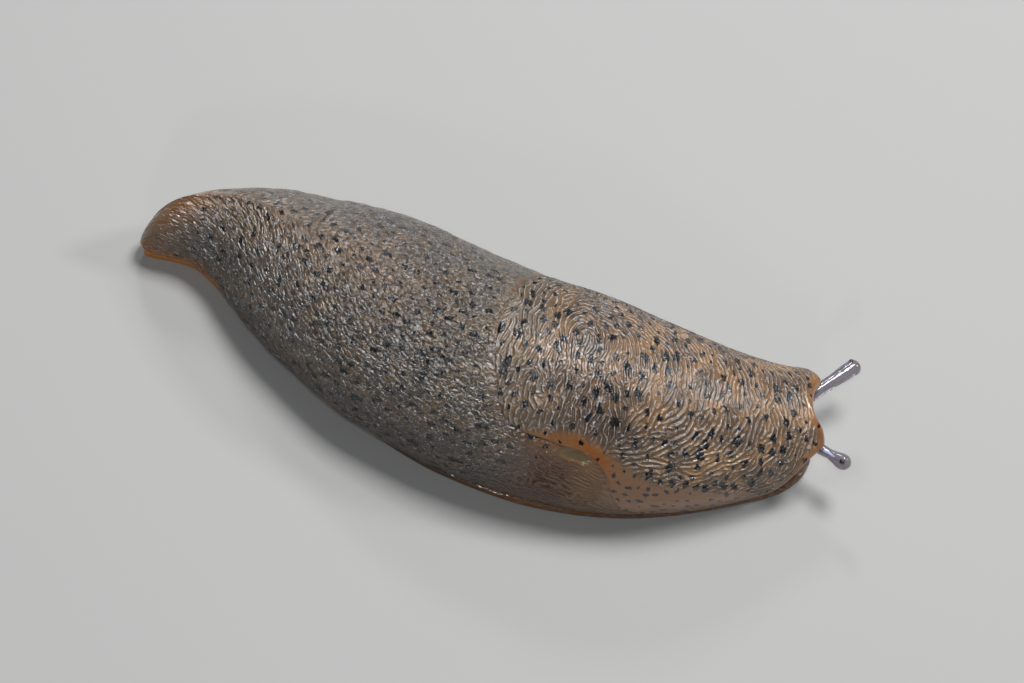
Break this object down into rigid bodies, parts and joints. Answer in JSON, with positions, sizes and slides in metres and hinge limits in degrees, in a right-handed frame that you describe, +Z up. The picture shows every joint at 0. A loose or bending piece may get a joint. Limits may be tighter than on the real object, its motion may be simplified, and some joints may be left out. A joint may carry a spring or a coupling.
{
  "type": "keelback slug",
  "caption": "Half drawn-in keelback slug at rest on its foot, with a dotted brown body, a ridged tan mantle over the head and two short feelers out.",
  "frame": {"origin": "centre of the animal's outline, on the surface that it rests on", "axes": "+X runs from the tail to the head, along the longest extent; +Y points to the animal's left; +Z is up"},
  "size_m": [0.0824, 0.0284, 0.0178],
  "materials": {
    "body_skin": "wet grey-brown skin with rows of small pale tubercles and many small black dots",
    "mantle_skin": "wet tan skin with fine wavy concentric ridges and black spots",
    "fringe": "smooth translucent amber edge",
    "foot": "smooth pale wet sole",
    "feeler": "smooth translucent grey-lilac, wet",
    "eye": "glossy black eye spot"
  },
  "bodies": {
    "root": {"foot_sole": "foot", "foot_fringe_left": "fringe", "foot_fringe_right": "fringe", "tail": "body_skin", "back": "body_skin", "trunk": "body_skin", "mantle": "mantle_skin", "pore_lip": "mantle_skin", "pore_floor": "body_skin", "neck": "body_skin", "head": "body_skin", "mouth_lobe_left": "body_skin", "mouth_lobe_right": "body_skin", "lower_feeler_left": "feeler", "lower_feeler_right": "feeler", "upper_feeler_stalk_left": "feeler", "upper_feeler_stalk_right": "feeler", "upper_feeler_bulb_left": "feeler", "upper_feeler_bulb_right": "feeler", "eye_left": "eye", "eye_right": "eye"}
  },
  "joints": []
}
